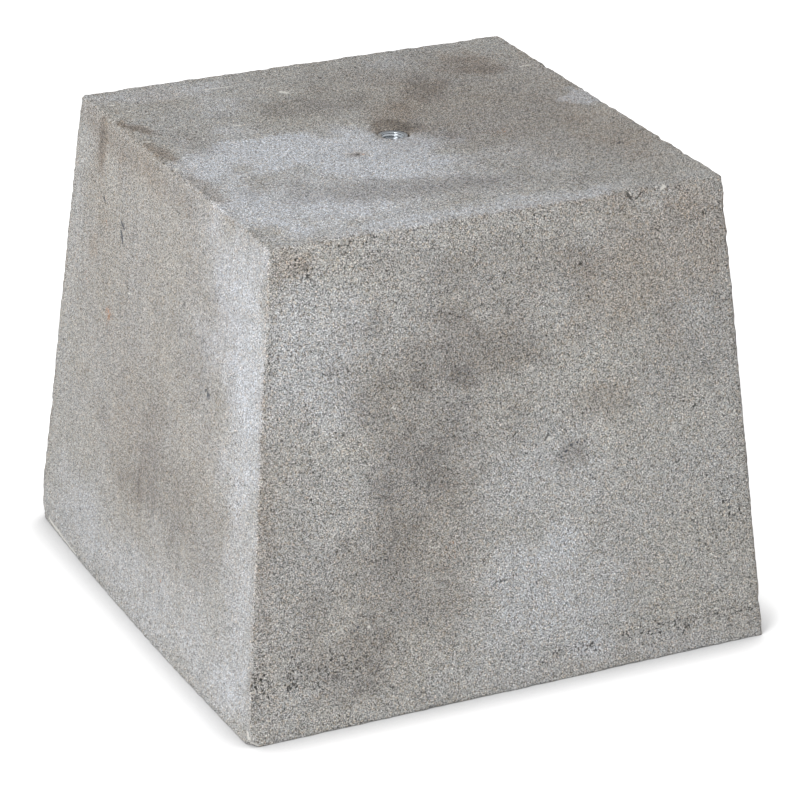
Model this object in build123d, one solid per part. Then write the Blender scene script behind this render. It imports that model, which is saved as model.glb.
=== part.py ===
from build123d import *
import math
import os

# Concrete deck pier block: a square block that tapers upwards, with a threaded steel socket
# cast into the middle of its top face and a cross bar that anchors the socket in the concrete.
# Sizes are in millimetres, +Z is up, and the origin is the centre of the underside.

# Block
BASE_SIDE = 300.0
TOP_SIDE = 252.0
BLOCK_HEIGHT = 257.0
SIDE_ARRIS_RADIUS = 2.5
TOP_ARRIS_RADIUS = 2.2
BASE_ARRIS_RADIUS = 1.2

# Worn and broken places: how far each one reaches along the arrises that it breaks
FOOT_BREAK_ALONG_X = 6.0
FOOT_BREAK_ALONG_Y = 10.0
FOOT_BREAK_RISE = 9.0
SIDE_WEAR_REACH = 8.0
SIDE_WEAR_RISE = 16.0
HEAD_WEAR_REACH = 5.0
HEAD_WEAR_DROP = 4.0
RIM_CHIP_RADIUS = 5.0
RIM_CHIP_BITE = 2.6
RIM_CHIP_FROM_CORNER = 54.0

# Threaded socket: a turned bar with a blind threaded hole, M12 x 1.75
THREAD_SIZE = 12.0
THREAD_PITCH = 1.75
THREAD_LENGTH = 40.0
DRILL_POINT_ANGLE = 118.0
MOUTH_DIAMETER = 12.4
SOCKET_DIAMETER = 16.0
SOCKET_LENGTH = 62.0
SOCKET_CHAMFER = 0.5
SOCKET_RECESS = 0.8

# Cross bar through the closed end of the socket
BAR_DIAMETER = 8.0
BAR_LENGTH = 70.0
BAR_CHAMFER = 0.8
BAR_END_COVER = 10.0
BAR_CLEARANCE = 0.1

# Derived sizes
taper_angle = math.degrees(math.atan2((BASE_SIDE - TOP_SIDE) / 2, BLOCK_HEIGHT))
bore_radius = (THREAD_SIZE - THREAD_PITCH) / 2
mouth_radius = MOUTH_DIAMETER / 2
socket_radius = SOCKET_DIAMETER / 2
bar_radius = BAR_DIAMETER / 2
socket_top = BLOCK_HEIGHT - SOCKET_RECESS
socket_foot = socket_top - SOCKET_LENGTH
bar_height = socket_foot + BAR_END_COVER


def base_corner(sign_x, sign_y):
    """The sharp corner that two sides and the underside would meet in."""
    return Vector(sign_x * BASE_SIDE / 2, sign_y * BASE_SIDE / 2, 0)


def top_corner(sign_x, sign_y):
    """The sharp corner that two sides and the top face would meet in."""
    return Vector(sign_x * TOP_SIDE / 2, sign_y * TOP_SIDE / 2, BLOCK_HEIGHT)


def tapered_body():
    """The whole block as it leaves the mould, with its arrises rounded."""
    body = extrude(Rectangle(BASE_SIDE, BASE_SIDE), amount=BLOCK_HEIGHT, taper=taper_angle)
    sides = [e for e in body.edges() if abs(e.center().Z - BLOCK_HEIGHT / 2) < BLOCK_HEIGHT / 4]
    body = fillet(sides, SIDE_ARRIS_RADIUS)
    body = fillet(body.faces().sort_by(Axis.Z)[-1].edges(), TOP_ARRIS_RADIUS)
    return fillet(body.faces().sort_by(Axis.Z)[0].edges(), BASE_ARRIS_RADIUS)


def corner_break(corner, along_x, along_y, along_side):
    """What is lost where a flat break runs through three points, one on each arris."""
    ends = [corner + along_x, corner + along_y, corner + along_side]
    middle = (ends[0] + ends[1] + ends[2]) * (1 / 3)
    outward = (ends[1] - ends[0]).cross(ends[2] - ends[0]).normalized()
    if outward.dot(corner - middle) < 0:
        outward = -outward
    size = 2 * max(along_x.length, along_y.length, along_side.length)
    lost = Box(size, size, size, align=(Align.CENTER, Align.CENTER, Align.MIN))
    return Plane(origin=middle, x_dir=ends[1] - ends[0], z_dir=outward) * lost


def foot_corner_break(sign_x, sign_y, along_x, along_y, rise):
    """A break at a bottom corner, so far along its two foot arrises and up the side arris."""
    corner = base_corner(sign_x, sign_y)
    up_arris = (top_corner(sign_x, sign_y) - corner).normalized()
    return corner_break(
        corner, Vector(-sign_x * along_x, 0, 0), Vector(0, -sign_y * along_y, 0), up_arris * rise
    )


def head_corner_break(sign_x, sign_y, reach, drop):
    """A break at a top corner, `reach` along the rim and `drop` down the side arris."""
    corner = top_corner(sign_x, sign_y)
    down_arris = (base_corner(sign_x, sign_y) - corner).normalized()
    return corner_break(
        corner, Vector(-sign_x * reach, 0, 0), Vector(0, -sign_y * reach, 0), down_arris * drop
    )


def rim_chip():
    """A scooped chip in the rim of the top face, on the side that faces -Y."""
    corner = top_corner(1, -1)
    outward = Vector(0, -1, 1).normalized()
    centre = corner - Vector(RIM_CHIP_FROM_CORNER, 0, 0)
    centre += outward * (RIM_CHIP_RADIUS - RIM_CHIP_BITE)
    return Pos(*centre) * Sphere(RIM_CHIP_RADIUS)


def bar_form(radius):
    """The cross bar's plain cylinder, lying along X at its height in the block."""
    return Pos(0, 0, bar_height) * Rot(0, 90, 0) * Cylinder(radius, BAR_LENGTH)


def socket_form():
    """The outside of the socket as the concrete is cast against it."""
    form = Pos(0, 0, socket_foot) * Cylinder(
        socket_radius, SOCKET_LENGTH, align=(Align.CENTER, Align.CENTER, Align.MIN)
    )
    return chamfer(form.edges().sort_by(Axis.Z)[0], SOCKET_CHAMFER)


def socket_well():
    """The short open hole in the concrete above the sunk rim of the socket."""
    return Pos(0, 0, socket_top) * Cylinder(
        socket_radius, 2 * SOCKET_RECESS, align=(Align.CENTER, Align.CENTER, Align.MIN)
    )


def make_pier_block():
    block = tapered_body()
    block -= foot_corner_break(-1, -1, FOOT_BREAK_ALONG_X, FOOT_BREAK_ALONG_Y, FOOT_BREAK_RISE)
    block -= foot_corner_break(-1, 1, SIDE_WEAR_REACH, SIDE_WEAR_REACH, SIDE_WEAR_RISE)
    block -= head_corner_break(-1, 1, HEAD_WEAR_REACH, HEAD_WEAR_DROP)
    block -= rim_chip()
    return block - socket_form() - socket_well() - bar_form(bar_radius)


def make_threaded_socket():
    """Half section turned round the axis: rim, countersunk mouth, bore and drill point."""
    mouth_depth = mouth_radius - bore_radius
    bore_end = socket_top - THREAD_LENGTH
    point_end = bore_end - bore_radius / math.tan(math.radians(DRILL_POINT_ANGLE / 2))
    section = Polyline(
        (0, socket_foot),
        (socket_radius - SOCKET_CHAMFER, socket_foot),
        (socket_radius, socket_foot + SOCKET_CHAMFER),
        (socket_radius, socket_top),
        (mouth_radius, socket_top),
        (bore_radius, socket_top - mouth_depth),
        (bore_radius, bore_end),
        (0, point_end),
        close=True,
    )
    turned = revolve(make_face(Plane.XZ * section), Axis.Z)
    return turned - bar_form(bar_radius + BAR_CLEARANCE)


def make_cross_bar():
    bar = bar_form(bar_radius)
    ends = bar.edges().filter_by(GeomType.CIRCLE)
    return chamfer(ends, BAR_CHAMFER)


def main():
    os.makedirs("parts", exist_ok=True)
    export_step(make_pier_block(), "parts/pier_block.step")
    export_step(make_threaded_socket(), "parts/threaded_socket.step")
    export_step(make_cross_bar(), "parts/cross_bar.step")


main()
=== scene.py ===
import logging
import math
from dataclasses import dataclass, field, replace
from enum import Enum
from typing import Any, Sequence

import bpy
import numpy as np
from mathutils import Matrix, Vector


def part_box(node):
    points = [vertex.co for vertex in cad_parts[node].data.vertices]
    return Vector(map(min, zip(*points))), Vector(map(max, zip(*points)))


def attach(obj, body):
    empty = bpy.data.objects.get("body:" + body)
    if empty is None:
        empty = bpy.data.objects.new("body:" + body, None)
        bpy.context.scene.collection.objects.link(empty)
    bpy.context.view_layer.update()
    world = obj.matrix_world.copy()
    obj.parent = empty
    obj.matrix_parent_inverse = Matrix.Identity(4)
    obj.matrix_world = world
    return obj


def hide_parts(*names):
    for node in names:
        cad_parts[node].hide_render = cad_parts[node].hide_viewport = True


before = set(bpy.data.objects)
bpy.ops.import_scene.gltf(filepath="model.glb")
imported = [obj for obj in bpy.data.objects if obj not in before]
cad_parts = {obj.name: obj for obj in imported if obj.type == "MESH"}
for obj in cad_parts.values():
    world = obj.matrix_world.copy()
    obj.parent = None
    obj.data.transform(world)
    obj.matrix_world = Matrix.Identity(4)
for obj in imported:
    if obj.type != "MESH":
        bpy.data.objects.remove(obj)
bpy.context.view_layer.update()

MM = 0.001
TINY = 1e-9
LOG = logging.getLogger("pier_block")


def seen(red: float, green: float, blue: float) -> tuple[float, float, float]:
    """A colour as it looks on a screen, 0 to 255, as the linear values that a shader takes.

    Args:
        red, green, blue: the colour's three parts.
    Returns:
        The linear red, green and blue.
    """
    return tuple((part / 255 / 12.92) if part < 10.3 else ((part / 255 + 0.055) / 1.055) ** 2.4
                 for part in (red, green, blue))


class Signal:
    """A socket that adds its own Math nodes when it is used in an expression."""

    def __init__(self, board: "Board", socket: bpy.types.NodeSocket) -> None:
        """Wraps an output socket of the board's tree."""
        self.board = board
        self.socket = socket

    def _math(self, operation: str, *values: Any) -> "Signal":
        """One Math node on these values, in order."""
        return self.board.signal("ShaderNodeMath", 0, {"operation": operation}, dict(enumerate(values)))

    def __add__(self, other: Any) -> "Signal":
        """self + other."""
        return self._math("ADD", self, other)

    def __sub__(self, other: Any) -> "Signal":
        """self - other."""
        return self._math("SUBTRACT", self, other)

    def __rsub__(self, other: Any) -> "Signal":
        """other - self."""
        return self._math("SUBTRACT", other, self)

    def __mul__(self, other: Any) -> "Signal":
        """self * other."""
        return self._math("MULTIPLY", self, other)

    def __truediv__(self, other: Any) -> "Signal":
        """self / other."""
        return self._math("DIVIDE", self, other)

    def __rtruediv__(self, other: Any) -> "Signal":
        """other / self."""
        return self._math("DIVIDE", other, self)

    def __pow__(self, other: Any) -> "Signal":
        """self ** other."""
        return self._math("POWER", self, other)

    __radd__ = __add__
    __rmul__ = __mul__

    def __abs__(self) -> "Signal":
        """The value without its sign."""
        return self._math("ABSOLUTE", self)

    def smaller(self, other: Any) -> "Signal":
        """The smaller of the two values."""
        return self._math("MINIMUM", self, other)

    def larger(self, other: Any) -> "Signal":
        """The larger of the two values."""
        return self._math("MAXIMUM", self, other)

    def below(self, limit: Any) -> "Signal":
        """1 where the value is under the limit, 0 elsewhere."""
        return self._math("LESS_THAN", self, limit)

    def step(self, low: Any, high: Any) -> "Signal":
        """A smooth step: 0 where the value is at low, 1 where it is at high.

        Args:
            low, high: where the step starts and ends. low may be above high.
        Returns:
            The step, never outside 0 to 1.
        """
        return self.board.signal(
            "ShaderNodeMapRange", 0, {"interpolation_type": "SMOOTHSTEP"},
            {"Value": self, "From Min": low, "From Max": high},
        )


class Board:
    """A node tree that is being wired, for a material or for geometry."""

    def __init__(self, tree: bpy.types.NodeTree) -> None:
        """Starts from an empty tree."""
        self.tree = tree
        tree.nodes.clear()

    def node(self, kind: str, settings: dict[str, Any] | None = None,
             sockets: dict[Any, Any] | None = None) -> bpy.types.Node:
        """Adds a node.

        Args:
            kind: the node's type.
            settings: its own properties, which are set first.
            sockets: a value or a link for each input, by its identifier, name or number.
        Returns:
            The new node.
        """
        made = self.tree.nodes.new(kind)
        for name, value in (settings or {}).items():
            setattr(made, name, value)
        for key, value in (sockets or {}).items():
            self.feed(self._input(made, key), value)
        return made

    def signal(self, kind: str, output: Any, settings: dict[str, Any] | None = None,
               sockets: dict[Any, Any] | None = None) -> Signal:
        """Adds a node and wraps one of its outputs.

        Args:
            kind, settings, sockets: as for node.
            output: the output's name, identifier or number.
        Returns:
            The wrapped output.
        """
        made = self.node(kind, settings, sockets)
        if isinstance(output, str):
            matching = [s for s in made.outputs if s.identifier == output]
            return Signal(self, matching[0] if matching else made.outputs[output])
        return Signal(self, made.outputs[output])

    @staticmethod
    def _input(made: bpy.types.Node, key: Any) -> bpy.types.NodeSocket:
        """Finds one input of a node.

        Args:
            made: the node.
            key: the input's identifier, name or number.
        Returns:
            The input.
        """
        if isinstance(key, int):
            return made.inputs[key]
        matching = [s for s in made.inputs if s.identifier == key]
        return matching[0] if matching else made.inputs[key]

    def feed(self, socket: bpy.types.NodeSocket, value: Any) -> None:
        """Links a signal to an input, or sets the input's value.

        Args:
            socket: the input.
            value: a signal, another node's output, a number, a vector or a colour.
        """
        if isinstance(value, Signal):
            self.tree.links.new(value.socket, socket)
        elif isinstance(value, bpy.types.NodeSocket):
            self.tree.links.new(value, socket)
        elif socket.type == "RGBA" and len(value) == 3:
            socket.default_value = (*value, 1.0)
        else:
            socket.default_value = value

    def vector(self, operation: str, first: Any, second: Any = None, scale: Any = None) -> Signal:
        """One Vector Math node.

        Args:
            operation: its operation.
            first, second: its vectors.
            scale: the factor of a SCALE operation.
        Returns:
            The resulting vector, or the value of a DOT_PRODUCT, LENGTH or DISTANCE.
        """
        sockets = {0: first}
        if second is not None:
            sockets[1] = second
        if scale is not None:
            sockets["Scale"] = scale
        output = "Value" if operation in ("DOT_PRODUCT", "LENGTH", "DISTANCE") else "Vector"
        return self.signal("ShaderNodeVectorMath", output, {"operation": operation}, sockets)

    def colour(self, factor: Any, first: Any, second: Any, blend: str = "MIX") -> Signal:
        """One Mix node on colours.

        Args:
            factor: 0 for the first colour, 1 for the second.
            first, second: the two colours.
            blend: how the second one is laid over the first.
        Returns:
            The mixed colour.
        """
        return self.signal(
            "ShaderNodeMix", "Result_Color", {"data_type": "RGBA", "blend_type": blend},
            {"Factor_Float": factor, "A_Color": first, "B_Color": second},
        )

    def noise(self, place: Signal, size: Any, detail: float = 2.0, roughness: float = 0.5,
              shift: float = 0.0) -> Signal:
        """Cloudy random values about 0.5.

        Args:
            place: the coordinates, in millimetres.
            size: how far apart the clouds are, in millimetres.
            detail, roughness: how many finer layers there are and how strong.
            shift: moves the pattern, so that two noises of one size differ.
        Returns:
            The random value.
        """
        moved = self.vector("ADD", place, (shift, -shift, 0.5 * shift)) if shift else place
        return self.signal("ShaderNodeTexNoise", 0, None, {
            "Vector": moved, "Scale": 1.0 / size, "Detail": detail, "Roughness": roughness})

    def cells(self, place: Signal, size: Any) -> tuple[Signal, Signal]:
        """Random cells, such as grains.

        Args:
            place: the coordinates, in millimetres.
            size: the cells' usual size, in millimetres.
        Returns:
            The distance from the cell's centre, in cell sizes, and the cell's own colour.
        """
        made = self.node("ShaderNodeTexVoronoi", None, {"Vector": place, "Scale": 1.0 / size})
        return Signal(self, made.outputs["Distance"]), Signal(self, made.outputs["Color"])

    def turned(self, place: Signal) -> Signal:
        """The coordinates turned askew, so that a noise's own grid doesn't line up with a face."""
        return self.signal("ShaderNodeVectorRotate", 0, {"rotation_type": "EULER_XYZ"},
                           {"Vector": place, "Rotation": (0.6, 0.45, 0.8)})

    def part(self, vector: Any, axis: int) -> Signal:
        """One of the three parts of a vector or a colour."""
        return self.vector("DOT_PRODUCT", vector, tuple(float(axis == k) for k in range(3)))


class MaterialBoard(Board):
    """The board of a new material that ends in a Principled shader."""

    def __init__(self, name: str) -> None:
        """Makes the material and its coordinates, in millimetres.

        Args:
            name: the material's name.
        """
        self.material = bpy.data.materials.new(name)
        self.material.use_nodes = True
        super().__init__(self.material.node_tree)
        self.place = self.vector("SCALE", self.signal("ShaderNodeTexCoord", "Object"), scale=1 / MM)

    def attribute(self, name: str) -> Signal:
        """A value that the piece's mesh carries at each point."""
        return self.signal("ShaderNodeAttribute", "Fac", {"attribute_name": name})

    def finish(self, sockets: dict[str, Any], height: Signal | None = None,
               depth: float = 0.0) -> bpy.types.Material:
        """Adds the Principled shader and the output.

        Args:
            sockets: the shader's inputs.
            height: 0 to 1, for the bump, or None for a smooth surface.
            depth: how deep the bump is, in metres.
        Returns:
            The finished material.
        """
        shader = self.node("ShaderNodeBsdfPrincipled", None, sockets)
        if height is not None:
            bump = self.signal("ShaderNodeBump", "Normal", None, {"Height": height, "Distance": depth})
            self.feed(shader.inputs["Normal"], bump)
        self.node("ShaderNodeOutputMaterial", None, {"Surface": shader.outputs[0]})
        return self.material


class GeometryBoard(Board):
    """The board of a new Geometry Nodes tree with named inputs."""

    KINDS = {float: "NodeSocketFloat", int: "NodeSocketInt", bpy.types.Material: "NodeSocketMaterial"}

    def __init__(self, name: str, inputs: dict[str, Any]) -> None:
        """Makes the tree and its interface.

        Args:
            name: the tree's name.
            inputs: a value for each input beside the geometry, by the input's name.
        """
        super().__init__(bpy.data.node_groups.new(name, "GeometryNodeTree"))
        face = self.tree.interface
        face.new_socket("Geometry", in_out="INPUT", socket_type="NodeSocketGeometry")
        self.values = {}
        for label, value in inputs.items():
            kind = next(k for t, k in self.KINDS.items() if isinstance(value, t))
            made = face.new_socket(label, in_out="INPUT", socket_type=kind)
            self.values[made.identifier] = value
        face.new_socket("Geometry", in_out="OUTPUT", socket_type="NodeSocketGeometry")
        self.group = self.node("NodeGroupInput")

    def given(self, label: str) -> Signal:
        """One of the tree's inputs, by its name."""
        return Signal(self, self.group.outputs[label])

    def attribute(self, name: str) -> Signal:
        """A value that the geometry carries at each point."""
        return self.signal("GeometryNodeInputNamedAttribute", "Attribute", {"data_type": "FLOAT"},
                           {"Name": name})

    def close(self, geometry: Any) -> None:
        """Ends the tree in Realize Instances and Set Material.

        Args:
            geometry: the output that holds all that the tree has made.
        """
        real = self.node("GeometryNodeRealizeInstances", None, {0: geometry})
        dressed = self.node("GeometryNodeSetMaterial", None,
                            {"Geometry": real.outputs[0], "Material": self.given("Material")})
        self.node("NodeGroupOutput", None, {0: dressed.outputs[0]})

    def grow(self, piece: bpy.types.Object) -> bpy.types.Object:
        """Runs the tree on an object and keeps the result as its plain mesh.

        Args:
            piece: the object that gives the tree its geometry.
        Returns:
            The same object, with the tree's mesh and no modifier.
        """
        modifier = piece.modifiers.new(self.tree.name, "NODES")
        modifier.node_group = self.tree
        for identifier, value in self.values.items():
            modifier[identifier] = value
        depsgraph = bpy.context.evaluated_depsgraph_get()
        mesh = bpy.data.meshes.new_from_object(piece.evaluated_get(depsgraph))
        piece.modifiers.remove(modifier)
        old = piece.data
        piece.data = mesh
        bpy.data.meshes.remove(old)
        return piece


def make_piece(name: str, points: np.ndarray, faces: Sequence[Sequence[int]]) -> bpy.types.Object:
    """A smooth mesh object at the origin.

    Args:
        name: the piece's name.
        points: its vertices, in metres.
        faces: the vertices of each face, by number.
    Returns:
        The object, linked to the scene.
    """
    mesh = bpy.data.meshes.new(name)
    mesh.from_pydata(points.tolist(), [], [list(map(int, face)) for face in faces])
    mesh.shade_smooth()
    mesh.update()
    piece = bpy.data.objects.new(name, mesh)
    bpy.context.scene.collection.objects.link(piece)
    return piece


def carry(piece: bpy.types.Object, name: str, values: np.ndarray) -> None:
    """Gives each vertex of a piece a value that its material and trees can read.

    Args:
        piece: the piece.
        name: the attribute's name.
        values: one value for each vertex.
    """
    attribute = piece.data.attributes.new(name, "FLOAT", "POINT")
    attribute.data.foreach_set("value", values.astype(np.float32))


def drift(points: np.ndarray, size: float, seed: int, waves: int = 14) -> np.ndarray:
    """Smooth random values, mostly within -1 to 1.

    Args:
        points: where, in millimetres.
        size: how far apart two swells are, in millimetres.
        seed: picks the pattern.
        waves: how many waves are added up.
    Returns:
        One value for each point.
    """
    random = np.random.default_rng(seed)
    ways = random.normal(size=(waves, 3))
    ways /= np.linalg.norm(ways, axis=1, keepdims=True)
    ways *= 2 * math.pi / size * random.uniform(0.6, 1.7, (waves, 1))
    phases = random.uniform(0, 2 * math.pi, waves)
    return np.cos(points @ ways.T + phases).sum(axis=1) * math.sqrt(2 / waves) * 0.7


class Side(Enum):
    """The faces of the block: the way that each one looks, then its across and its up."""

    TOP = ((0, 0, 1), (1, 0, 0), (0, 1, 0))
    LEFT = ((-1, 0, 0), (0, -1, 0), (0, 0, 1))
    FRONT = ((0, -1, 0), (1, 0, 0), (0, 0, 1))
    RIGHT = ((1, 0, 0), (0, 1, 0), (0, 0, 1))
    BACK = ((0, 1, 0), (-1, 0, 0), (0, 0, 1))

    @property
    def outward(self) -> np.ndarray:
        """The way that the face looks."""
        return np.array(self.value[0], float)

    @property
    def across(self) -> np.ndarray:
        """The way to the right as one looks at the face from outside."""
        return np.array(self.value[1], float)

    @property
    def up(self) -> np.ndarray:
        """The way up the face, or away from the viewer on the top."""
        return np.array(self.value[2], float)


class Mark(Enum):
    """What may lie on the concrete or be missing from it, by the attribute that carries it."""

    LAITANCE = "laitance"
    SHADE = "shade"
    BROWN = "brown"
    RUST = "rust"
    SOOT = "soot"
    PORES = "pores"
    CHIPS = "chips"
    CRACK = "crack"


@dataclass(frozen=True)
class Patch:
    """A place on one face that carries a mark, in millimetres on that face.

    across runs to the right as one looks at the face from outside. up is the height above the
    ground, and on the top it is +Y. soft is how much of the patch fades out, and wobble how
    ragged its outline is.
    """

    mark: Mark
    side: Side
    across: float
    up: float
    half_width: float
    half_height: float
    strength: float = 1.0
    turn: float = 0.0
    soft: float = 0.6
    wobble: float = 0.35

    def weight(self, points: np.ndarray, seed: int) -> np.ndarray:
        """How strongly the patch marks each point, if the point is on its face.

        Args:
            points: the points, in millimetres.
            seed: picks the outline's wobble.
        Returns:
            0 to the patch's strength, for each point.
        """
        a = points @ self.side.across - self.across
        b = points @ self.side.up - self.up
        cos, sin = math.cos(math.radians(self.turn)), math.sin(math.radians(self.turn))
        reach = np.hypot((a * cos + b * sin) / self.half_width, (b * cos - a * sin) / self.half_height)
        swell = 1.1 * math.sqrt(self.half_width * self.half_height)
        reach += self.wobble * drift(points, swell, seed) * np.minimum(reach, 1.0)
        fade = np.clip((1 + self.soft - reach) / (2 * self.soft), 0, 1)
        return self.strength * fade * fade * (3 - 2 * fade)


@dataclass(frozen=True)
class Stroke:
    """A mark too fine for a patch, drawn from one place on a face to another, in millimetres."""

    mark: Mark
    side: Side
    start: tuple[float, float]
    end: tuple[float, float]
    half_width: float


@dataclass(frozen=True)
class CornerBreak:
    """A corner that is broken off or worn away, on the plane through a point on each arris.

    along_x and along_y are how far it goes along the two level arrises, and rise how far along
    the third.
    """

    x_sign: int
    y_sign: int
    at_top: bool
    along_x: float
    along_y: float
    rise: float


@dataclass(frozen=True)
class Scoop:
    """A ball-shaped bite out of an arris, in millimetres.

    at is the sharp arris's point, outward the way that the arris looks, and bite is how deep
    the ball goes in behind that point.
    """

    at: tuple[float, float, float]
    outward: tuple[float, float, float]
    radius: float
    bite: float


@dataclass
class BlockForm:
    """The concrete casting's form, in millimetres, fitted to the frame's own block.

    Each edge has cells squares, of which the last fine_cells are fine_share as wide, with
    blend_cells between. foot_bow is how far the left foot bulges in its middle, how much less
    it does at its ends, and how high up this reaches. Each of well_rings is a radius, a depth
    and how ragged the ring is.
    """

    cells: int = 126
    fine_cells: int = 8
    blend_cells: int = 6
    fine_share: float = 0.4
    side_radius: float = 0.9
    top_radius: float = 1.2
    foot_radius: float = 0.9
    foot_bow: tuple[float, float, float] = (1.2, 2.7, 14.0)
    mouth_cells: int = 6
    well_radius: float = 8.0
    well_foot: float = 194.2
    well_rings: tuple[tuple[float, float, float], ...] = (
        (11.4, 0.0, 0.0), (10.2, 0.0, 0.2), (9.4, 0.03, 0.5), (8.8, 0.12, 1.0), (8.45, 0.35, 1.0),
        (8.3, 0.7, 1.0), (8.15, 1.5, 0.9), (8.08, 3.5, 0.8), (8.03, 7.0, 0.0),
    )
    breaks: tuple[CornerBreak, ...] = (
        CornerBreak(-1, -1, False, 6.0, 10.0, 9.0),
        CornerBreak(-1, 1, False, 7.0, 7.0, 11.0),
        CornerBreak(-1, 1, True, 3.0, 3.0, 2.5),
    )
    height: float = field(init=False)
    foot_half: float = field(init=False)
    top_half: float = field(init=False)

    def __post_init__(self) -> None:
        """Reads the height, and from the widest vertices near foot and rim the two half widths."""
        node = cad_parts["pier_block"]
        points = np.array([v.co for v in node.data.vertices], float) / MM
        self.height = float(points[:, 2].max())
        wide = np.abs(points[:, :2]).max(axis=1)
        low = points[:, 2] < self.height / 2
        foot, rim = (int(np.argmax(np.where(part, wide, 0))) for part in (low, ~low))
        slope = (wide[rim] - wide[foot]) / (points[rim, 2] - points[foot, 2])
        self.foot_half = float(wide[foot] - slope * points[foot, 2])
        self.top_half = self.foot_half + float(slope) * self.height

    def half_at(self, z: Any) -> Any:
        """Half the block's width at a height."""
        return self.foot_half + (self.top_half - self.foot_half) * z / self.height

    def stations(self) -> np.ndarray:
        """Where the mesh's lines lie along one edge, closer together at its ends.

        Returns:
            Their places, from 0 to 1.
        """
        index = np.arange(self.cells) + 0.5
        from_end = np.minimum(index, self.cells - index)
        widths = np.interp(from_end, [self.fine_cells, self.fine_cells + self.blend_cells],
                           [self.fine_share, 1.0])
        return np.concatenate([[0.0], np.cumsum(widths)]) / widths.sum()

    def rounded(self, sharp: np.ndarray) -> np.ndarray:
        """Rounds and tapers the skin of an upright box.

        Args:
            sharp: points on the box, which is as wide all the way up as the block is at its foot.
        Returns:
            The same points on the block's rounded and tapered skin.
        """
        x, y, z = sharp.T.copy()
        wide = np.maximum(np.maximum(np.abs(x), np.abs(y)), TINY)
        for end, radius, inwards in ((self.height, self.top_radius, -1), (0.0, self.foot_radius, 1)):
            level = radius * self.foot_half / self.half_at(end)
            a = np.clip(1 - (self.foot_half - wide) / level, 0, 1)
            b = np.clip(1 - np.abs(end - z) / radius, 0, 1)
            near = (a > 0) & (b > 0)
            length = np.where(near, np.hypot(a, b), 1)
            bent = np.where(near, (self.foot_half - (1 - a / length) * level) / wide, 1)
            z = np.where(near, end + inwards * (1 - b / length) * radius, z)
            x, y = x * bent, y * bent
        wide = np.maximum(np.abs(x), np.abs(y))
        radius = self.side_radius / self.half_at(z) * wide
        a, b = (np.maximum(np.abs(part) - (wide - radius), 0) for part in (x, y))
        near = (a > 0) & (b > 0)
        pull = np.where(near, radius / np.maximum(np.hypot(a, b), TINY), 1)
        x, y = (np.sign(part) * np.where(near, wide - radius + over * pull, np.abs(part))
                for part, over in ((x, a), (y, b)))
        scale = self.half_at(z) / self.foot_half
        return np.stack([x * scale, y * scale, z], axis=1)

    def skin(self) -> tuple[np.ndarray, list[np.ndarray], np.ndarray]:
        """The skin of the block's lattice, with a window in the middle of the top.

        Returns:
            The points, the faces by point number, and the numbers round the window.
        """
        n = self.cells
        grid = np.indices((n + 1,) * 3)
        on_skin = ((grid == 0) | (grid == n)).any(axis=0)
        number = np.full(on_skin.shape, -1)
        number[on_skin] = np.arange(on_skin.sum())
        at = self.stations()
        steps = np.argwhere(on_skin)
        sharp = np.stack([(2 * at[steps[:, 0]] - 1) * self.foot_half,
                          (2 * at[steps[:, 1]] - 1) * self.foot_half,
                          at[steps[:, 2]] * self.height], axis=1)
        near, far = n // 2 - self.mouth_cells, n // 2 + self.mouth_cells
        faces = []
        b, c = np.meshgrid(np.arange(n), np.arange(n), indexing="ij")
        for axis in range(3):
            for end in (0, n):
                corners = []
                for to_b, to_c in ((0, 0), (1, 0), (1, 1), (0, 1)):
                    place = [None, None, None]
                    place[axis] = np.full_like(b, end)
                    place[(axis + 1) % 3], place[(axis + 2) % 3] = b + to_b, c + to_c
                    corners.append(number[tuple(place)])
                side = np.stack(corners, axis=-1)
                kept = np.ones((n, n), bool)
                if axis == 2 and end == n:
                    kept[near:far, near:far] = False
                side = side[kept]
                faces.append(side if end == n else side[:, ::-1])
        along = np.arange(near, far)
        window = [number[along, near, n], number[far, along, n],
                  number[along[::-1] + 1, far, n], number[near, along[::-1] + 1, n]]
        return self.rounded(sharp), faces, np.concatenate(window)

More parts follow.
